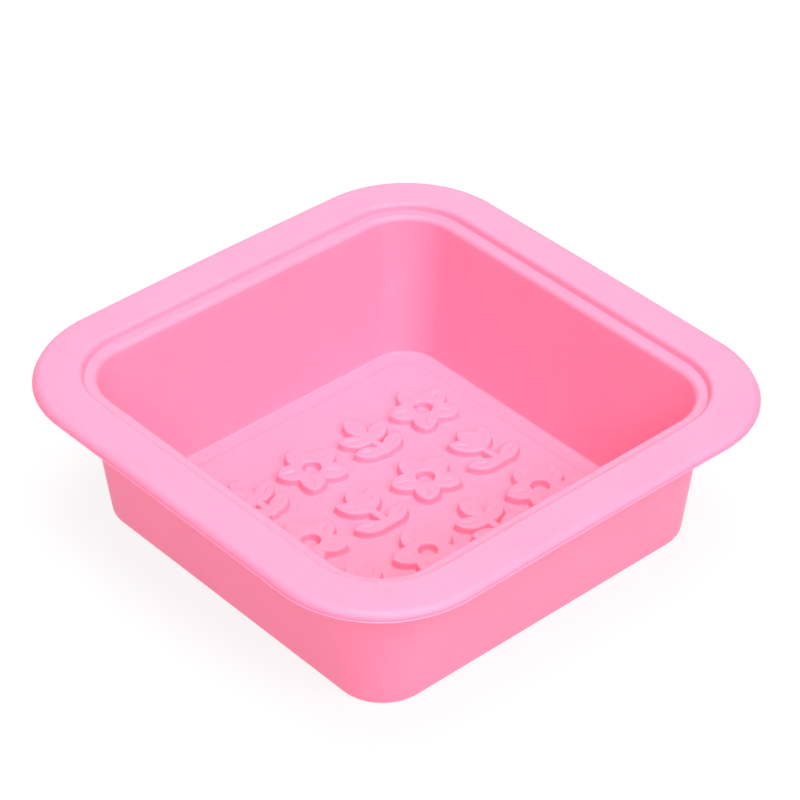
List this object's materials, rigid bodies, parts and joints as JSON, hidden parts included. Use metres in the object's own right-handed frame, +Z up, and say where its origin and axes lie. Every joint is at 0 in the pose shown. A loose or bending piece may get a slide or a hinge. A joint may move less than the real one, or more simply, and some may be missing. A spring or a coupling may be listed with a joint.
{
  "type": "soap loaf mould",
  "caption": "Square one-cavity soft silicone soap mould with a rounded flange, a stepped lip, tapered walls and a raised botanical pattern on its floor.",
  "frame": {"origin": "centre of the underside, on the surface that the mould stands on", "axes": "+Z up out of the cavity; +X along the rows of the floor pattern; +Y across the rows, towards the first row"},
  "size_m": [0.083, 0.084, 0.0247],
  "materials": {
    "silicone": "soft matte pink silicone, slightly translucent"
  },
  "bodies": {
    "root": {"base_floor": "silicone", "side_wall": "silicone", "mouth_ledge": "silicone", "rim_flange": "silicone", "relief_sprig_11": "silicone", "relief_blossom_12": "silicone", "relief_sprig_13": "silicone", "relief_blossom_14": "silicone", "relief_blossom_21": "silicone", "relief_bud_22": "silicone", "relief_blossom_23": "silicone", "relief_bud_24": "silicone", "relief_bud_31": "silicone", "relief_blossom_32": "silicone", "relief_sprig_33": "silicone", "relief_blossom_34": "silicone"}
  },
  "joints": []
}
